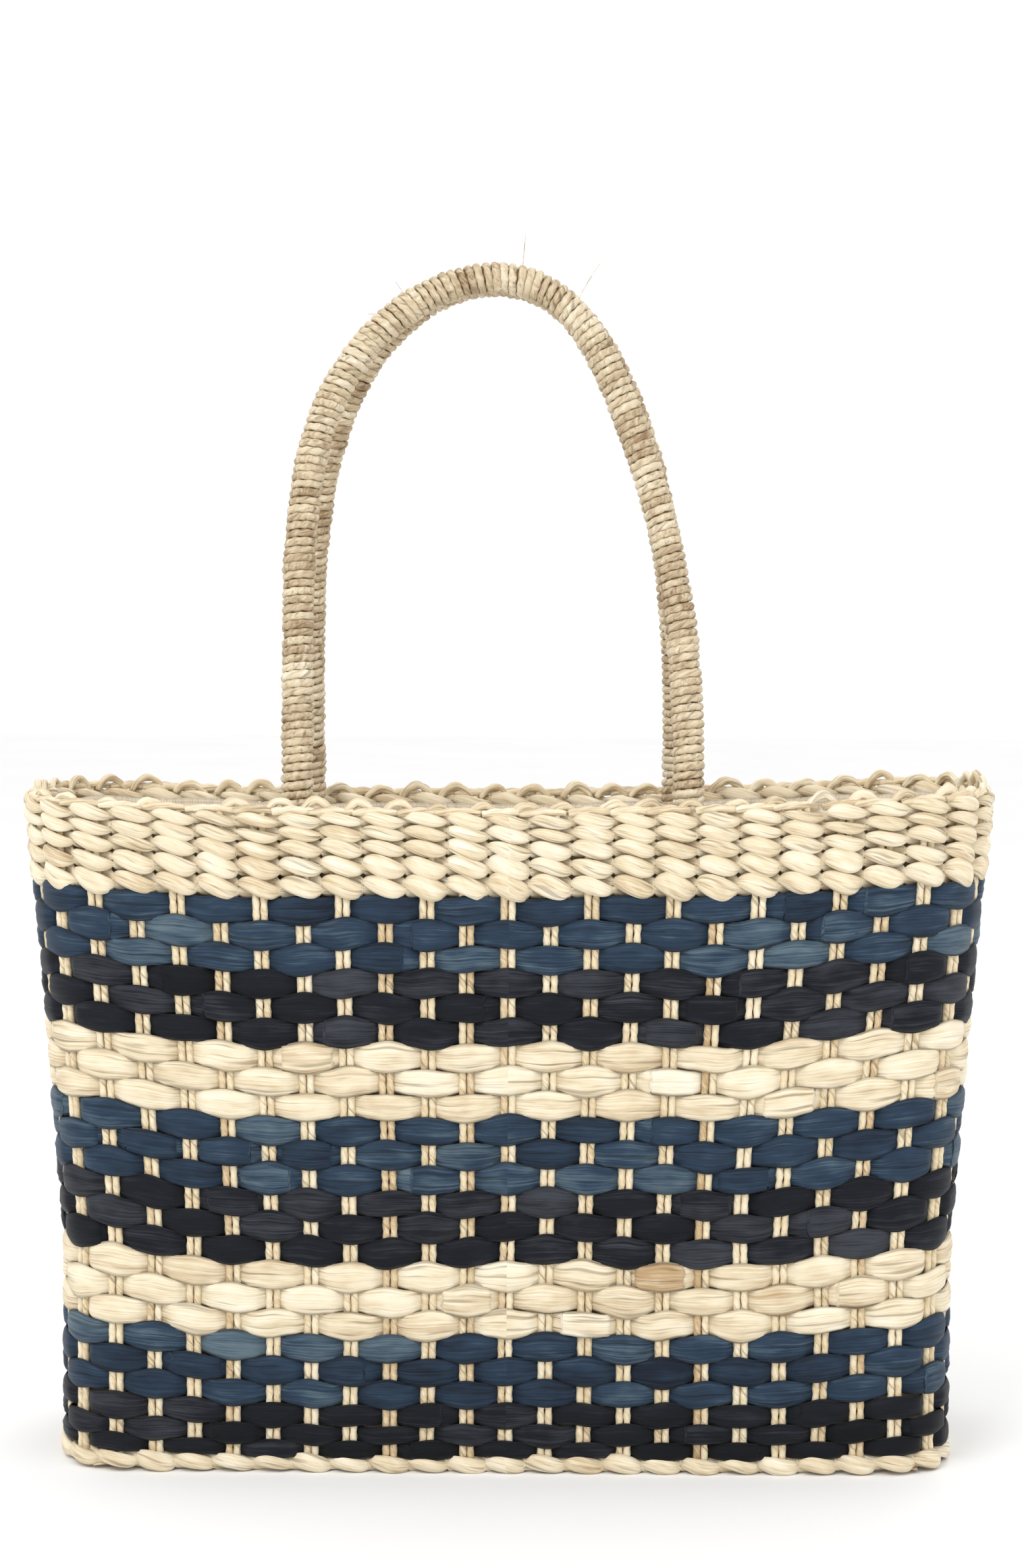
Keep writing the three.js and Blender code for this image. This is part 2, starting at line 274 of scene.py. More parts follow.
def two_ply(path, radius, lay, sides=8, turn=0.0, lobe=0.24):
    """Sections of a cord of two plies along a path. lay is the length of one twist."""
    _, normal, other = frames(path)
    angle = np.arange(sides) * TAU / sides
    spin = (turn + TAU * distance_along(path) / lay)[:, None]
    r = radius * ply_radius(angle[None, :], spin, lobe)
    x = (r * np.cos(angle))[..., None] * normal[:, None, :]
    y = (r * np.sin(angle))[..., None] * other[:, None, :]
    return path[:, None, :] + x + y


# ---------------------------------------------------------------- materials


class Material:
    """A node material, built by small steps."""

    def __init__(self, name, roughness=0.7, sheen=0.0, specular=0.35):
        self.made = bpy.data.materials.new(name)
        self.made.use_nodes = True
        self.tree = self.made.node_tree
        self.shader = self.tree.nodes["Principled BSDF"]
        self.shader.inputs["Roughness"].default_value = roughness
        self.shader.inputs["Specular IOR Level"].default_value = specular
        self.shader.inputs["Sheen Weight"].default_value = sheen

    def node(self, kind, values=(), **settings):
        made = self.tree.nodes.new("ShaderNode" + kind)
        for key, value in settings.items():
            setattr(made, key, value)
        for key, value in dict(values).items():
            if isinstance(value, bpy.types.NodeSocket):
                self.tree.links.new(value, made.inputs[key])
            else:
                made.inputs[key].default_value = value
        return made

    def math(self, operation, a, b=0.5, clamp=False):
        node = self.node("Math", {0: a, 1: b}, operation=operation)
        node.use_clamp = clamp
        return node.outputs[0]

    def centred(self, value, strength):
        """A value that varies round 0.5, made to vary round 0."""
        return self.math("MULTIPLY", self.math("SUBTRACT", value, 0.5), strength)

    def darkened(self, share, colour, by):
        """One colour multiplied by another, in part."""
        node = self.tree.nodes.new("ShaderNodeMix")
        node.data_type = "RGBA"
        node.blend_type = "MULTIPLY"
        factor, first, second, result = node.inputs[0], node.inputs[6], node.inputs[7], node.outputs[2]
        factor.default_value = share
        self.tree.links.new(colour, first)
        self.tree.links.new(by, second)
        return result

    def ramp(self, factor, *stops):
        """A colour ramp. Its first two stops are the outer ones."""
        node = self.node("ValToRGB", {0: factor})
        elements = node.color_ramp.elements
        for i, (place, colour) in enumerate(stops):
            element = elements[i] if i < 2 else elements.new(place)
            element.position = place
            element.color = (*colour, 1)
        return node.outputs[0]

    def uv(self):
        return self.node("UVMap", uv_map="strand").outputs[0]

    def stretched(self, along, across, twist=0.0):
        """Coordinates in which noise runs along a strand. along and across are in noise cells a metre."""
        parts = self.node("SeparateXYZ", {0: self.uv()})
        u = self.math("MULTIPLY", parts.outputs[0], along)
        v = self.math("MULTIPLY", parts.outputs[1], across)
        if twist:
            v = self.math("ADD", v, self.math("MULTIPLY", parts.outputs[0], twist))
        w = self.math("MULTIPLY", self.tint(), 37.0)  # each strand has its own slice of the noise
        return self.node("CombineXYZ", {0: u, 1: v, 2: w}).outputs[0]

    def tint(self):
        return self.node("Attribute", attribute_name="tint").outputs["Fac"]

    def noise(self, vector, scale=1.0, detail=3.0, rough=0.55, distortion=0.0):
        values = {"Vector": vector, "Scale": scale, "Detail": detail, "Roughness": rough}
        values["Distortion"] = distortion
        return self.node("TexNoise", values).outputs["Fac"]

    def finish(self, colour, height=None, strength=0.5, distance=0.5 * MM, roughness=None):
        self.tree.links.new(colour, self.shader.inputs["Base Color"])
        if height is not None:
            bump = self.node("Bump", {"Height": height, "Strength": strength, "Distance": distance})
            self.tree.links.new(bump.outputs[0], self.shader.inputs["Normal"])
        if roughness is not None:
            self.tree.links.new(roughness, self.shader.inputs["Roughness"])
        return self.made


def srgb(r, g, b):
    """A screen colour, 0 to 255, as linear light."""
    return tuple(((c / 255 + 0.055) / 1.055) ** 2.4 if c > 10 else c / 255 / 12.92 for c in (r, g, b))


def husk(name, dark, middle, light, roughness, specular=0.3, twist=0.0):
    """Dried leaf husk: long fibres, a few deeper creases with painted shade along them, and colour that
    drifts from strand to strand.
    """
    m = Material(name, sheen=0.05, specular=specular)
    fibres = m.noise(m.stretched(30, 1100, twist), detail=4, rough=0.7)
    creases = m.noise(m.stretched(26, 420, twist), detail=2, rough=0.5, distortion=0.3)
    patches = m.noise(m.stretched(60, 130, twist), detail=2)
    tint = m.tint()
    factor = m.centred(fibres, 1.3)
    factor = m.math("ADD", factor, m.centred(patches, 0.8))
    factor = m.math("ADD", factor, tint, clamp=True)
    colour = m.ramp(factor, (0.0, dark), (1.0, light), (0.5, middle))
    # painted shade: the colour is darkened along the low lines of the crease noise, where the bump also sinks
    # the surface
    crease_shade = m.ramp(creases, (0.32, (0.40, 0.36, 0.32)), (0.42, (1, 1, 1)))
    colour = m.darkened(0.7, colour, crease_shade)
    height = m.math("ADD", m.math("MULTIPLY", fibres, 0.55), m.math("MULTIPLY", creases, 0.6))
    rough = m.math("ADD", m.math("MULTIPLY", fibres, 0.3), roughness - 0.15)
    return m.finish(colour, height, strength=0.7, distance=0.8 * MM, roughness=rough)


def linen():
    """Unbleached plain-woven cloth: threads of uneven thickness, over and under, with painted shade in the
    dips between them.
    """
    m = Material("lining_linen", roughness=0.9, sheen=0.15, specular=0.15)
    parts = m.node("SeparateXYZ", {0: m.uv()})
    thread = 1.25 * MM
    wobble = m.noise(m.uv(), scale=260, detail=2)
    slubs = m.noise(m.stretched(900, 60), detail=2)
    u = m.math("ADD", m.math("MULTIPLY", parts.outputs[0], TAU / thread), m.math("MULTIPLY", wobble, 2.2))
    v = m.math("ADD", m.math("MULTIPLY", parts.outputs[1], TAU / thread), m.math("MULTIPLY", wobble, 2.2))
    warp = m.math("MULTIPLY", m.math("SINE", u), 0.5)
    weft = m.math("MULTIPLY", m.math("SINE", v), 0.5)
    weave = m.math("ADD", m.math("MULTIPLY", warp, weft), m.math("MULTIPLY", m.math("ADD", warp, weft), 0.3))
    weave = m.math("ADD", m.math("MULTIPLY", weave, 1.1), 0.5)
    # painted shade: the colour follows the weave's height, darker in the dips between the threads
    factor = m.math("ADD", m.math("MULTIPLY", weave, 0.6), m.math("MULTIPLY", slubs, 0.5), clamp=True)
    dark, middle, light = srgb(150, 134, 114), srgb(204, 190, 168), srgb(232, 221, 202)
    colour = m.ramp(factor, (0.15, dark), (0.9, light), (0.5, middle))
    return m.finish(colour, weave, strength=0.5, distance=0.4 * MM)


NATURAL = husk("natural_husk", srgb(178, 148, 108), srgb(229, 215, 185), srgb(248, 241, 224), roughness=0.66)
TWINED = husk("twined_husk", srgb(172, 142, 102), srgb(226, 210, 178), srgb(247, 240, 222),
              roughness=0.66, twist=90)
BLUE = husk("blue_husk", srgb(10, 22, 38), srgb(36, 56, 76), srgb(92, 110, 120), roughness=0.55, specular=0.2)
BLACK = husk("black_husk", srgb(4, 6, 12), srgb(17, 20, 28), srgb(58, 61, 68), roughness=0.55, specular=0.15)
CORD = husk("stake_cord", srgb(188, 158, 116), srgb(228, 211, 176), srgb(244, 235, 212),
            roughness=0.7, twist=500)
HANDLE = husk("handle_cord", srgb(140, 112, 80), srgb(204, 187, 156), srgb(236, 226, 204),
              roughness=0.7, twist=350)
CORE = husk("handle_core", srgb(110, 80, 45), srgb(150, 115, 72), srgb(180, 148, 104), roughness=0.8)
LINEN = linen()

# ---------------------------------------------------------------- the weft


def row_heights():
    """The middle height of each weft row. The lowest rows are packed closer."""
    pitch = 10.1 - 3.6 * np.exp(-np.arange(WEFT_ROWS - 1) / 1.8)
    steps = np.concatenate([[0], np.cumsum(pitch)])
    first, last = 9.6 * MM, BAND_BOTTOM - 5.0 * MM
    return first + (last - first) * steps / steps[-1]


ROW_Z = row_heights()
ROW_PITCH = np.gradient(ROW_Z)
DRIFT = 0.5 * MM  # how far a row wanders
CLIMB = 5.5 * MM  # how far it climbs towards the basket's ends
CLIMB_START = 95 * MM  # from the middle of the long side
CLIMB_LENGTH = 85 * MM


def waver(stake, z):
    """How far hand weaving has carried a row up or down at this place."""
    turn = TAU * np.asarray(stake, float) / STAKES
    slow = np.sin(5 * turn + 9 * z)
    quick = 0.7 * np.sin(9 * turn - 14 * z + 2)
    drift = DRIFT * (slow + quick + 0.5 * np.sin(16 * turn + 21 * z + 4)) * np.clip(z / (60 * MM), 0, 1)
    x = np.abs(around(BASE_LINE, stake)[..., 0])
    corner = np.clip((x - CLIMB_START) / CLIMB_LENGTH, 0, 1)
    climb = CLIMB * corner**2 * (3 - 2 * corner)
    # the lowest rows and the band lie level
    climb = climb * np.clip(z / (35 * MM), 0, 1) ** 0.6 * np.clip((BAND_BOTTOM - z) / (90 * MM), 0, 1) ** 0.7
    return drift + climb


FRONT_POINTS = 9
BACK_POINTS = 5
STRIP_POINTS = FRONT_POINTS + BACK_POINTS
STRIP_WIDTH = 28 * MM  # round a strip's section
STRIP_BULGE = 1.2 * MM


def strip_sections(stake, z, height, swing, bulge, thickness, ridges):
    """Sections of one flat strip along the wall: a curved front face and a flatter back."""
    v = np.concatenate([np.linspace(-1, 1, FRONT_POINTS), np.linspace(0.72, -0.72, BACK_POINTS)])
    face = np.concatenate([np.ones(FRONT_POINTS), -np.ones(BACK_POINTS)])
    crown = bulge[:, None] * (1 - np.abs(v) ** 2.4)
    side = np.where(np.abs(v) > 0.99, 0.0, face) * thickness / 2
    crease = ridges * (face > 0)
    out = swing[:, None] + crown + side + crease
    up = (z + waver(stake, z))[:, None] + v * height[:, None] / 2
    return wall(stake[:, None], up, out)


def strip_swing(share):
    """A strip stays out to the edges of the stakes it passes over, then dives behind the next."""
    return 2.45 * MM * np.tanh(2.6 * (share + 0.70))


def strip_height(pitch, open_share, size):
    """A strip opens out over a stake and is pinched where its neighbours are open."""
    return pitch * (1.01 + 0.27 * open_share**2.8) * (1 + (size - 1) * open_share)


def strip_bulge(open_share):
    return STRIP_BULGE * (0.3 + 0.7 * open_share)


def splice(skin, rng, row, centre, parity, size, lift, tint):
    """The start of a new strip: its torn end lies over the old one beside one stake."""
    begins = centre + rng.uniform(-0.72, -0.35)
    to_the_right = rng.random() < 0.6
    stake = begins + np.linspace(0, 1.3, 16)
    if not to_the_right:
        stake = 2 * centre - stake
    share = np.cos(np.pi * (stake + 1 - parity))
    open_share = 0.5 + 0.5 * share
    height = strip_height(ROW_PITCH[row - 1], open_share, size) * 0.96
    z = ROW_Z[row - 1] + lift * open_share
    ridges = 0.12 * MM * np.stack([smooth_noise(rng, 16, 8, False) for _ in range(STRIP_POINTS)], axis=1)
    swing = strip_swing(share) + 0.55 * MM
    rings = strip_sections(stake, z, height, swing, strip_bulge(open_share), 0.5 * MM, ridges)
    # the torn end is ragged, and a little paler
    torn = 0.5 + 0.45 * np.sin(rng.uniform(0, TAU) + np.arange(STRIP_POINTS) * 1.3)
    rings[0] += (rings[1] - rings[0]) * torn[:, None]
    shade = np.full(len(stake), np.clip(tint + rng.normal() * 0.14, 0.05, 0.95))
    shade[0] = min(0.95, shade[1] + 0.16)
    skin.strand(rings, STRIP_WIDTH, tint=shade)


# three rows of each, from the bottom up
STRIPES = ((BLACK, "black_strip"), (BLUE, "blue_strip"), (NATURAL, "natural_strip"))


def weft_row(row):
    """One row: a strip that goes outside one stake and inside the next, all the way round."""
    rng = np.random.default_rng(100 + row)
    material, slot = STRIPES[(row - 1) // 3 % len(STRIPES)]
    per_stake = 12
    count = STAKES * per_stake
    stake = np.arange(count) / per_stake
    parity = row % 2  # outside at the stakes where stake + row is odd, as in the frame
    share = np.cos(np.pi * (stake + 1 - parity))  # 1 outside, -1 inside
    open_share = 0.5 + 0.5 * share
    floats = STAKES // 2  # a float is where the strip shows, outside one stake
    place = (stake + 1 - parity) / 2 + 0.5
    here = np.floor(place).astype(int) % floats
    local = place - np.floor(place) - 0.5  # -0.5 to 0.5 along a float
    size = 1 + 0.07 * rng.normal(size=floats).clip(-2, 2)
    lift = 0.28 * MM * rng.normal(size=floats).clip(-2, 2)
    lean = 0.35 * MM * rng.normal(size=floats).clip(-2, 2)
    shading = 0.05 if material is NATURAL else 0.12
    tint = 0.5 + shading * smooth_noise(rng, floats, 4) + shading * rng.normal(size=floats)
    height = strip_height(ROW_PITCH[row - 1], open_share, size[here])
    z = ROW_Z[row - 1] + lift[here] * open_share + lean[here] * np.sin(TAU * local) * open_share
    ridges = 0.13 * MM * np.stack([smooth_noise(rng, count, 26) for _ in range(STRIP_POINTS)], axis=1)
    rings = strip_sections(stake, z, height, strip_swing(share), strip_bulge(open_share), 0.8 * MM, ridges)
    skin = Skin()
    skin.strand(rings, STRIP_WIDTH, tint=tint[here].clip(0.05, 0.95), closed=True)
    for k in rng.choice(floats, size=5, replace=False):
        splice(skin, rng, row, 2 * k - 1 + parity, parity, size[k], lift[k], tint[k])
    name = f"weft_row_{row:02d}"
    skin.build("strip_" + name, material, slot, nodes=[name])


# ---------------------------------------------------------------- twined rows, stakes, border and floor


def twined_strand(z, height, phase, rng, depth=1.75 * MM, reach=3.2 * MM,
                  slant=0.19, ends=0.19, open_by=0.38):
    """Sections of one strand of a twined pair: outside one stake, inside the next, half a turn at a time."""
    per_stake, sides = 16, 10
    count = STAKES * per_stake
    stake = np.arange(count) / per_stake
    angle = np.pi * stake + phase
    cos, sin = np.cos(angle), np.sin(angle)
    stitch = np.floor(angle / np.pi + 0.5).astype(int)
    size = (1 + 0.10 * rng.normal(size=STAKES + 2)).clip(0.8, 1.2)[stitch % STAKES]
    lift = (0.35 * MM * rng.normal(size=STAKES + 2)).clip(-0.7 * MM, 0.7 * MM)[stitch % STAKES]
    tint = (0.55 + 0.07 * rng.normal(size=STAKES + 2)).clip(0.08, 0.95)[stitch % STAKES]
    full = np.abs(cos)
    half_height = height * (ends + open_by * full**0.75) * size
    half_depth = depth * (0.75 + 0.35 * full)
    middle_z = z - slant * height * sin + lift * full
    out = reach * np.tanh(1.3 * cos) / np.tanh(1.3)
    a = np.arange(sides) * TAU / sides
    ridge = 1 + 0.07 * np.stack([smooth_noise(rng, count, 9) for _ in range(sides)], axis=1)
    up = middle_z[:, None] + half_height[:, None] * np.sin(a) * ridge
    across = out[:, None] + half_depth[:, None] * np.cos(a) * ridge
    skew = 0.04 * np.sin(a) * cos[:, None]  # the section leans with the strand
    return wall(stake[:, None] - skew, up + waver(stake, z)[:, None], across), tint


def twined_band():
    for i in range(1, TWINED_ROWS + 1):
        rng = np.random.default_rng(200 + i)
        bottom = low(f"twined_row_{i}_outer")[2]
        above = f"twined_row_{i + 1}_outer" if i < TWINED_ROWS else "rim_border"
        height = low(above)[2] - bottom
        for strand, phase in (("outer", 0.0), ("inner", math.pi)):
            rings, tint = twined_strand(bottom + height / 2, height, phase, rng)
            skin = Skin().strand(rings, 22 * MM, tint=tint, closed=True)
            name = f"twined_row_{i}_{strand}"
            skin.build("husk_" + name, TWINED, "twined_strand", nodes=[name])


def foot_rope():
    rng = np.random.default_rng(300)
    skin = Skin()
    height = 7.4 * MM
    middle = FOOT_TOP / 2 + 0.6 * MM
    for phase in (0.0, math.pi):
        rings, tint = twined_strand(middle, height, phase, rng, depth=2.0 * MM, reach=2.6 * MM,
                                    slant=0.12, ends=0.30, open_by=0.22)
        rings[..., 2] = np.maximum(rings[..., 2], 0.05 * MM)
        skin.strand(rings, 24 * MM, tint=tint, closed=True)
    skin.build("twisted_foot_rope", TWINED, "twined_strand", nodes=["foot_rope"])


def stakes():
    """Pairs of two-ply cords that run in under the lining and rise from there to the rim."""
    rng = np.random.default_rng(400)
    skin = Skin()
    top = BODY_TOP - 0.5 * MM
    heights = np.concatenate([np.linspace(5.5 * MM, 12 * MM, 4), np.linspace(14.5 * MM, top, 112)])
    spacing = 16.5 * MM  # between stakes
    floor_z = 4.2 * MM
    half_turn = STAKES // 2
    on_long_side = 9  # stakes to each side of a long side's middle
    for k in range(STAKES):
        wander = 0.020 * smooth_noise(rng, len(heights), 20, False)
        crosses = abs((k + half_turn // 2) % half_turn - half_turn // 2) <= on_long_side
        for side in (-1, 1):
            apart = side * STAKE_CORD_RADIUS * 0.97
            path = wall(k + wander + apart / spacing, heights, 0.3 * MM + 0.10 * MM * rng.normal())
            foot = path[0] * [1, 1, 0]
            if crosses:
                target = np.array([foot[0], 0, 0])
            else:
                target = np.array([math.copysign(BASE[0] - 60 * MM, foot[0]), foot[1] * 0.5, 0])
            share = np.linspace(1, 0.06, 13 if crosses else 7)[:, None]
            floor = foot * (1 - share) + target * share
            floor[:, 2] = floor_z
            path = np.concatenate([floor, path])
            rings = two_ply(path, STAKE_CORD_RADIUS, 10.5 * MM, turn=rng.uniform(0, TAU), lobe=0.27)
            skin.strand(rings, 11 * MM, tint=np.clip(0.5 + 0.13 * rng.normal(), 0.1, 0.9))
    skin.build("stake_cords", CORD, "stake_cord", nodes=["warp_stakes"])


def rim_loop(rng, stake, span, rise, z, out_start, out_slope):
    """The sections of one bent stake end, from one stake towards the next."""
    t = np.linspace(0, 1, 24)
    span = span + 0.06 * rng.normal()
    rise = rise * (1 + 0.15 * rng.normal())
    start = stake + 0.06 * rng.normal()
    height = z + rise * np.sin(np.pi * t) ** 0.8
    out = out_start - out_slope * t + 0.2 * MM * rng.normal()
    path = wall(start + span * t, height, out)
    radius = 1.95 * MM * (1 + 0.07 * rng.normal()) * (0.72 + 0.28 * np.sin(np.pi * t))
    rings = two_ply(path, 1.0, 13 * MM, turn=rng.uniform(0, TAU), lobe=0.26)
    return path[:, None] + (rings - path[:, None]) * radius[:, None, None]


def rim_border():
    """Each stake's two ends bend over to the right and are tucked in behind the next stake."""
    rng = np.random.default_rng(500)
    skin = Skin()
    for k in range(STAKES):
        outer = (k, 0.80, 5.2 * MM, BODY_TOP - 1.4 * MM, 0.2 * MM, 1.6 * MM)
        inner = (k + 0.3, 1.1, 0.8 * MM, BODY_TOP + 0.3 * MM, 1.4 * MM, 1.2 * MM)
        for loop in (outer, inner):
            rings = rim_loop(rng, *loop)
            skin.strand(rings, 14 * MM, tint=np.clip(0.5 + 0.10 * rng.normal(), 0.05, 0.95))
    skin.build("rim_loops", TWINED, "stake_cord", nodes=["rim_border"])


def base_mat():
    """The floor under the stakes: strips along the length, over and under the cords that cross them."""
    rng = np.random.default_rng(600)
    skin = Skin()
    strips = 9
    width = 2 * BASE[1] / strips
    v = np.array([-1, -0.6, 0, 0.6, 1, 0.6, 0, -0.6])  # across a strip's section
    face = np.array([0, -1, -1, -1, 0, 1, 1, 1])  # and its lower and upper sides
    for i in range(strips):
        y = -BASE[1] + width * (i + 0.5)
        inset = 14 * MM if i in (0, strips - 1) else 3 * MM  # the outer strips stop at the rounded corners
        x = np.linspace(-BASE[0] + inset, BASE[0] - inset, 138)
        wave = np.cos(np.pi * (x / (16.3 * MM) + i))[:, None]
        z = 1.55 * MM + 0.62 * MM * wave + face * 0.4 * MM + 0.35 * MM * wave * (1 - v**2)
        z = np.clip(z, 0.02 * MM, 3.1 * MM)
        rings = np.stack(np.broadcast_arrays(x[:, None], y + v * width * 0.47, z), axis=-1)
        tint = 0.5 + 0.12 * smooth_noise(rng, len(x), 9, False)
        skin.strand(rings, 26 * MM, tint=tint.clip(0.05, 0.95))
    skin.build("base_strips", NATURAL, "natural_strip", nodes=["base_mat"])


# ---------------------------------------------------------------- lining

LINING_THICKNESS = 0.8 * MM
LINING_GAP = 7.2 * MM  # from the wall's middle line to the cloth
LINING_TOP = high("lining")[2] - RIM_RISE - 0.5 * MM
LINING_FLOOR = low("lining")[2] + 0.8 * MM
LINING_COLUMNS = STAKES * 6
POCKET_DEPTH = 15.5 * MM  # how far the cloth stands in where it covers a tail
# each ring's share of the floor's outline, and its height in mm
FLOOR_RINGS = ((0.985, 3.2), (0.95, 1.2), (0.88, 0.4), (0.78, 0.1),
               (0.64, 0.3), (0.48, 0.2), (0.32, 0.4), (0.16, 0.3))


def lining_push(stake, z):
    """How much further in the cloth stands where it covers the handles' tails."""
    push = np.zeros(np.broadcast(stake, z).shape)
    p = wall(stake, z)
    for x in (TAIL_LEFT[0], TAIL_RIGHT[0]):
        near = np.exp(-(((p[..., 0] - x) / (11 * MM)) ** 2) ** 1.5)
        rise = 1 / (1 + np.exp(-(z - (TAIL_BOTTOM - 8 * MM)) / (5 * MM)))
        push = np.maximum(push, POCKET_DEPTH * near * rise)
    return push


def lining_wall():
    """Rings of points down the cloth's wall, from inside the turned edge to just above the floor."""
    rng = np.random.default_rng(700)
    stake = np.arange(LINING_COLUMNS) * STAKES / LINING_COLUMNS
    top, bottom = LINING_TOP, LINING_FLOOR
    heights = np.concatenate([[top - 9 * MM, top - 5 * MM, top - 1.5 * MM, top],
                              np.linspace(top - 2 * MM, 40 * MM, 46),
                              np.linspace(35 * MM, bottom + 7 * MM, 8)])

    def waves(*scales_and_sizes):
        return sum(smooth_noise(rng, LINING_COLUMNS, scale) * size for scale, size in scales_and_sizes)

    folds = waves((30, 0.8), (14, 0.5), (7, 0.25))
    sway = waves((24, 0.7), (9, 0.4))
    rings = []
    for i, z in enumerate(heights):
        turned = 0.9 * MM if i < 3 else 0.0  # the turned edge lies behind the cloth
        share = (top - z) / (top - bottom)
        depth = math.sin(math.pi * min(1, max(0, share))) ** 0.6
        wrinkle = (folds * (1 - share) + sway * share) * 1.5 * MM * depth
        edge = 0.5 * MM * np.sin(stake * 1.7 + 3 * np.sin(stake * 0.31)) if i < 5 else 0.0
        out = -LINING_GAP + turned - np.abs(wrinkle) - lining_push(stake, np.full(LINING_COLUMNS, z))
        rings.append(wall(stake, z + edge, out))
    return rings


def lining_floor(last):
    """Rings of points that close in over the floor from the last ring of the wall."""
    rings = []
    for share, height in FLOOR_RINGS:
        p = last * [share, share, 0]
        p[:, 0] = np.sign(last[:, 0]) * np.maximum(np.abs(last[:, 0]) - (1 - share) * BASE[1], 0)
        p[:, 2] = LINING_FLOOR + height * MM
        rings.append(p)
    return rings


def lining_faces(rows):
    """Quads between the rings, and across the last ring from front to back."""
    columns = LINING_COLUMNS
    i, j = np.meshgrid(np.arange(rows - 1), np.arange(columns), indexing="ij")
    k, l = i + 1, (j + 1) % columns
    faces = np.stack([i * columns + j, k * columns + j, k * columns + l, i * columns + l], axis=-1)
    last_ring = (rows - 1) * columns
    half = columns // 2
    across = [[last_ring + c % columns for c in (a, half - a, half - a - 1, a + 1)]
              for a in range(-half // 2, half // 2)]
    across = [list(dict.fromkeys(face)) for face in across]  # the two at the ends are triangles
    return faces.reshape(-1, 4).tolist() + across


def lining():
    """An open bag of cloth, sewn in just under the border, with its top edge turned over."""
    wall_rings = lining_wall()
    grid = np.array(wall_rings + lining_floor(wall_rings[-1]))
    rows, columns = grid.shape[:2]
    points = grid.reshape(-1, 3)
    mesh = bpy.data.meshes.new("lining_cloth")
    mesh.from_pydata(points.tolist(), [], lining_faces(rows))
    mesh.update()
    layer = mesh.uv_layers.new(name="strand")
    perimeter = distance_along(grid[10])[-1]  # of a ring well below the turned edge
    u_of = np.tile(np.arange(columns) * perimeter / columns, rows)
    v_of = np.repeat(distance_along(grid[:, 0]), columns)
    floor_start = len(wall_rings) * columns
    for polygon in mesh.polygons:
        wraps = polygon.vertices[-1] % columns == 0 and polygon.vertices[0] % columns == columns - 1
        on_floor = min(polygon.vertices) >= floor_start
        for loop, vertex in zip(polygon.loop_indices, polygon.vertices):
            u = u_of[vertex] + (perimeter if wraps and vertex % columns == 0 else 0)
            layer.data[loop].uv = tuple(points[vertex][:2]) if on_floor else (u, v_of[vertex])
    mesh.shade_smooth()
    mesh.materials.append(LINEN)
    obj = bpy.data.objects.new("lining_cloth", mesh)
    bpy.context.collection.objects.link(obj)
    thick = obj.modifiers.new("thickness", "SOLIDIFY")
    thick.thickness = LINING_THICKNESS
    thick.offset = 0
    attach(obj, "basket")
    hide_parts("lining")


# ---------------------------------------------------------------- handles

HANDLE_SWAY = {"handle_front": -8 * MM, "handle_back": -4 * MM}  # how far each arch leans to one side
SWAY_POWER = 2.2  # higher brings that lean nearer the crown
ARCH_POWER_X = 2.05
ARCH_POWER_Z = 2.9
CROWN_DROP = 2 * MM  # the crown sags a little below the frame's
PATH_STEP = 0.5 * MM

COIL_PITCH = 3.5 * MM
CORE_RADIUS = 4.0 * MM
CORD_RADIUS = 1.42 * MM


def by_axis(function, values):
    """A function of one column, applied to X, Y and Z in turn."""
    return np.stack([function(values[:, i]) for i in range(3)], axis=1)


def smoothed(path, reach=16):
    """A path averaged over reach points to each side."""
    kernel = np.hanning(2 * reach + 1)
    kernel /= kernel.sum()
    padded = np.concatenate([np.repeat(path[:1], reach, axis=0), path, np.repeat(path[-1:], reach, axis=0)])
    return by_axis(lambda column: np.convolve(column, kernel, mode="valid"), padded)


def handle_path(body):
    """The centre line of one handle, from the bottom of one tail over the crown to that of the other."""
    pivot = PIVOT[body]
    side = math.copysign(1, pivot[1])
    shift = (TAIL_LEFT[0] + TAIL_RIGHT[0]) / 2
    half_width = (TAIL_RIGHT[0] - TAIL_LEFT[0]) / 2
    crown_y = HANDLE_RADIUS + 0.15 * MM
    crown_z = high(body + "_wrap")[2] - HANDLE_RADIUS - CROWN_DROP
    angle = np.pi * (1 - np.linspace(0, 1, 700))
    across = np.sign(np.cos(angle)) * np.abs(np.cos(angle)) ** (2 / ARCH_POWER_X)
    up = np.abs(np.sin(angle)) ** (2 / ARCH_POWER_Z)
    sway = HANDLE_SWAY[body] * np.sin(np.pi * up**SWAY_POWER)
    arch = np.stack([shift + half_width * across + sway,
                     side * (abs(pivot[1]) + (crown_y - abs(pivot[1])) * up),
                     pivot[2] + (crown_z - pivot[2]) * up], axis=1)
    tail_points = 40
    tail = np.linspace(TAIL_BOTTOM + 2 * MM, pivot[2], tail_points, endpoint=False)
    left = np.stack([np.full(tail_points, arch[0][0]), np.full(tail_points, pivot[1]), tail], axis=1)
    right = np.stack([np.full(tail_points, arch[-1][0]), np.full(tail_points, pivot[1]), tail[::-1]], axis=1)
    path = np.concatenate([left, arch, right])
    along = distance_along(path)
    even = np.linspace(0, along[-1], int(along[-1] / PATH_STEP))
    return smoothed(by_axis(lambda column: np.interp(even, along, column), path))


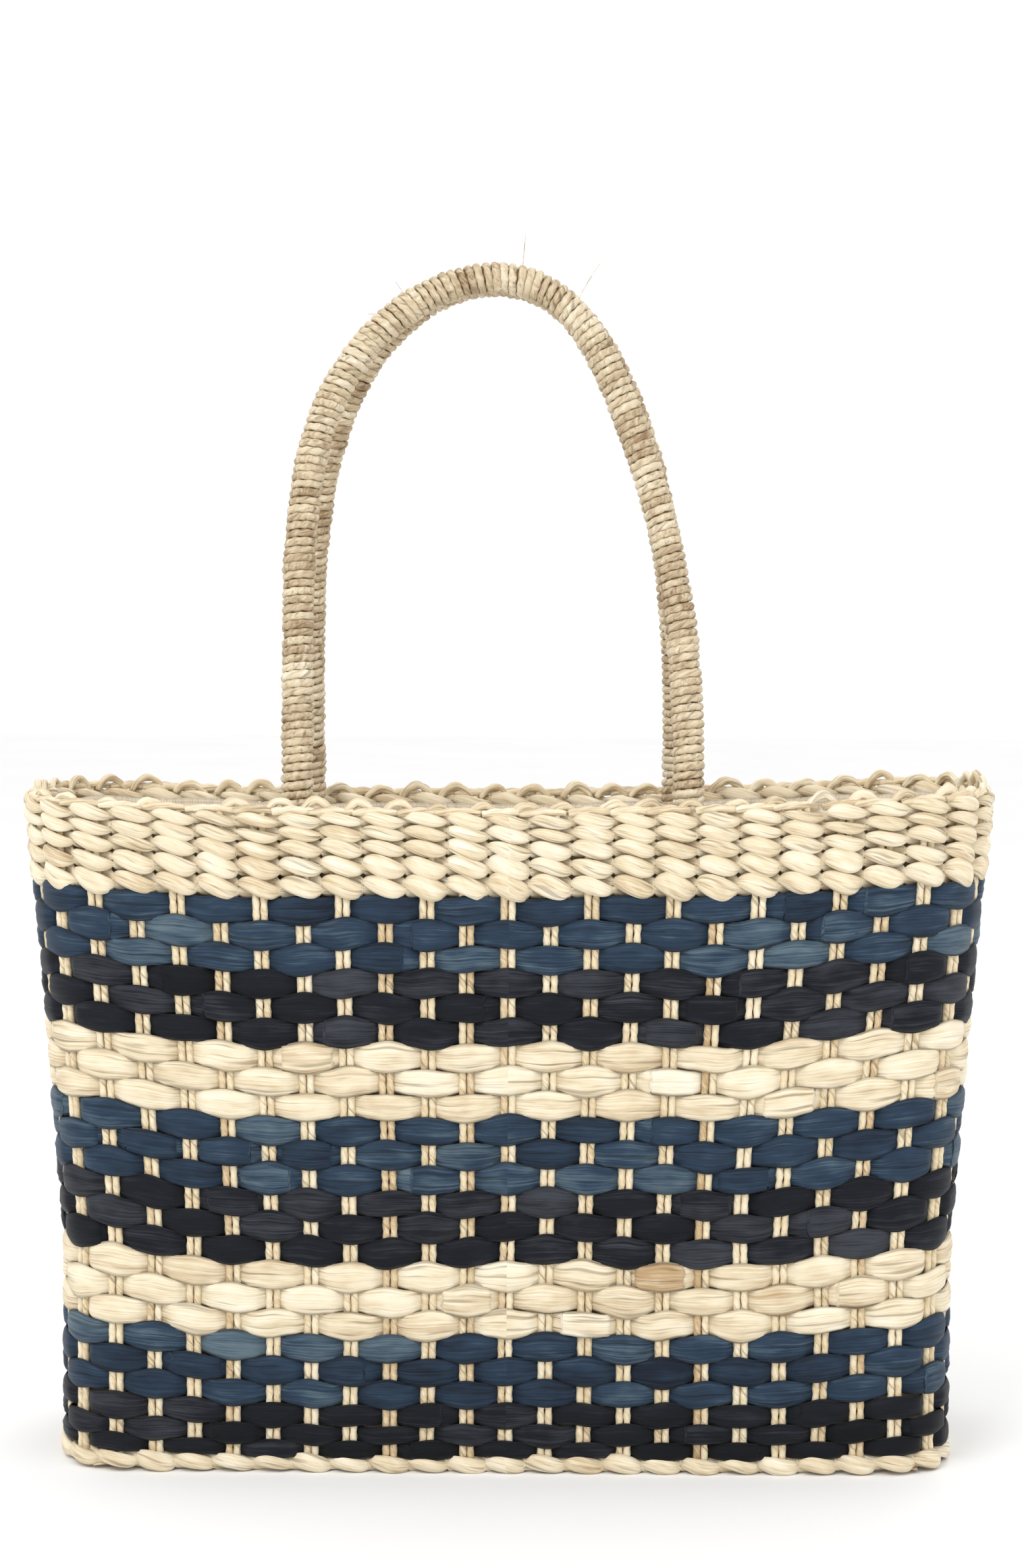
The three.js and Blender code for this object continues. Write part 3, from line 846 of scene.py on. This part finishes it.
def winding(path, rng):
    """Sections of the cord wound round a handle's core, and their tint."""
    tangent, normal, other = frames(path)
    along = distance_along(path)
    turns = along[-1] / COIL_PITCH
    per_turn = 26
    count = int(turns * per_turn)
    turn = np.linspace(0, turns, count)
    place = turn * COIL_PITCH + 0.22 * MM * smooth_noise(rng, count, per_turn * 1.3, False)
    core_radius = CORE_RADIUS * (1 + 0.03 * smooth_noise(rng, count, per_turn * 3, False))
    cord_radius = CORD_RADIUS * (1 + 0.06 * smooth_noise(rng, count, per_turn * 0.8, False))

    def at(values):
        return by_axis(lambda column: np.interp(place, along, column), values)

    around_core = (TAU * turn)[:, None]
    radial = at(normal) * np.cos(around_core) + at(other) * np.sin(around_core)
    centre = at(path) + radial * (core_radius + cord_radius)[:, None]
    axis = at(tangent)
    axis /= np.linalg.norm(axis, axis=1, keepdims=True)
    sides = 8
    angle = np.arange(sides) * TAU / sides
    spin = (TAU * distance_along(centre) / (9.5 * MM))[:, None]
    r = ply_radius(angle[None, :], spin, lobe=0.24)
    width = 1.33 * cord_radius[:, None] * r * np.cos(angle)
    depth = 1.08 * cord_radius[:, None] * r * np.sin(angle)
    rings = centre[:, None, :] + width[..., None] * axis[:, None, :] + depth[..., None] * radial[:, None, :]
    tint = 0.45 + 0.12 * smooth_noise(rng, count, per_turn * 2.5, False)
    tint = tint + 0.10 * smooth_noise(rng, count, 9, False)
    return rings, tint.clip(0.05, 0.95)


def handle(body, seed):
    rng = np.random.default_rng(seed)
    path = handle_path(body)
    rings, tint = winding(path, rng)
    tails = [body.replace("handle_", "handle_tail_") + end for end in ("_left", "_right")]
    wrap = Skin().strand(rings, 9 * MM, tint=tint)
    wrap = wrap.build(body + "_winding", HANDLE, "handle_cord", body=None, nodes=[body + "_wrap", *tails])
    rings = two_ply(path[::6], 4.7 * MM, 40 * MM, sides=10, lobe=0.05)
    core = Skin().strand(rings, 29 * MM)
    core = core.build(body + "_bundle", CORE, "handle_core", body=None, nodes=[body + "_core"])
    for piece in (wrap, core):
        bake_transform(piece)


def lashings():
    """Stitches of thin twine that hold the tails to the wall."""
    rng = np.random.default_rng(900)
    turns = 5
    twine = 0.75 * MM
    radius = HANDLE_RADIUS + twine
    t = np.linspace(0, turns, 130)
    for side, sign in (("front", -1), ("back", 1)):
        for end, x in (("left", TAIL_LEFT[0]), ("right", TAIL_RIGHT[0])):
            node = f"tail_lashing_{side}_{end}"
            bottom, top = low(node)[2] + 1 * MM, high(node)[2] - 1 * MM
            y = sign * abs(PIVOT["handle_front"][1])
            path = np.stack([x + radius * np.cos(TAU * t), y + radius * np.sin(TAU * t),
                             bottom + (top - bottom) * t / turns], axis=1)
            rings = two_ply(path, twine, 5 * MM, sides=6, turn=rng.uniform(0, TAU))
            Skin().strand(rings, 5 * MM, tint=0.4).build("twine_" + node, HANDLE, "handle_cord", nodes=[node])


def stray_fibres():
    """A few loose ends of husk that stand off the handles."""
    rng = np.random.default_rng(1000)
    fibres = 3
    for body in ("handle_front", "handle_back"):
        path = handle_path(body)
        skin = Skin()
        for _ in range(fibres):
            i = int(len(path) * rng.uniform(0.38, 0.66))
            start = path[i] + rng.normal(size=3) * 1.5 * MM
            direction = rng.normal(size=3)
            direction[2] = abs(direction[2]) + 0.3
            direction /= np.linalg.norm(direction)
            bend = rng.normal(size=3) * 0.5
            t = np.linspace(0, 1, 12)[:, None]
            length = rng.uniform(5, 10) * MM
            line = start + direction * (5 * MM + length * t) + bend * length * t**2 * 1.4
            rings = two_ply(line, 0.16 * MM, 30 * MM, sides=5, lobe=0.05)
            skin.strand(rings, 1 * MM, tint=0.7)
        skin.build(body + "_fibres", HANDLE, "handle_cord", body=body)


# ---------------------------------------------------------------- floor, light and camera

FLOOR_HALF = 6.0
LIGHT_AIM = (0, 0, 0.22)
LIGHTS = (  # name, place, power in watts, size
    ("key", (-0.8, -1.4, 1.7), 15, 0.9),
    ("fill", (1.4, -1.2, 1.0), 3, 1.2),
    ("back", (0.4, 1.4, 1.7), 6, 1.0),
)
WORLD_STRENGTH = 1.1
LENS = 70.7
CAMERA_PLACE = (0.0, -1.3155, 0.3706)
CAMERA_DOWN = 3.78  # degrees below level
CAMERA_ROLL = -0.35


def studio():
    """White paper under a white sky, as in the photo."""
    s = FLOOR_HALF
    floor_mesh = bpy.data.meshes.new("floor")
    floor_mesh.from_pydata([(-s, -s, 0), (s, -s, 0), (s, s, 0), (-s, s, 0)], [], [(0, 1, 2, 3)])
    floor = bpy.data.objects.new("floor", floor_mesh)
    bpy.context.collection.objects.link(floor)
    paper = Material("pale_floor", roughness=0.9, specular=0.1)
    grain = paper.noise(paper.node("TexCoord").outputs["Object"], scale=3.0, detail=2)
    colour = paper.ramp(grain, (0.3, (0.88, 0.88, 0.88)), (0.7, (0.90, 0.90, 0.90)))
    floor_mesh.materials.append(paper.finish(colour))

    world = bpy.data.worlds.new("studio")
    world.use_nodes = True
    background = world.node_tree.nodes["Background"]
    background.inputs["Color"].default_value = (1.0, 1.0, 1.0, 1)
    background.inputs["Strength"].default_value = WORLD_STRENGTH
    bpy.context.scene.world = world
    bpy.context.scene.view_settings.view_transform = "Standard"

    for name, place, power, size in LIGHTS:
        light = bpy.data.lights.new(name, "AREA")
        light.energy = power
        light.size = size
        lamp = bpy.data.objects.new(name, light)
        lamp.location = place
        x, y, z = np.array(LIGHT_AIM) - np.array(place)
        lamp.rotation_euler = (math.atan2(math.hypot(x, y), -z), 0, math.atan2(y, x) - math.pi / 2)
        bpy.context.collection.objects.link(lamp)


def camera():
    made = bpy.data.cameras.new("camera")
    made.lens = LENS
    made.sensor_width = 36
    obj = bpy.data.objects.new("camera", made)
    obj.location = CAMERA_PLACE
    obj.rotation_euler = (math.radians(90 - CAMERA_DOWN), math.radians(CAMERA_ROLL), 0)
    bpy.context.collection.objects.link(obj)
    bpy.context.scene.camera = obj


camera()
studio()
stakes()
for row in range(1, WEFT_ROWS + 1):
    weft_row(row)
twined_band()
foot_rope()
rim_border()
base_mat()
lining()
handle("handle_front", seed=799)
handle("handle_back", seed=801)
lashings()
stray_fibres()
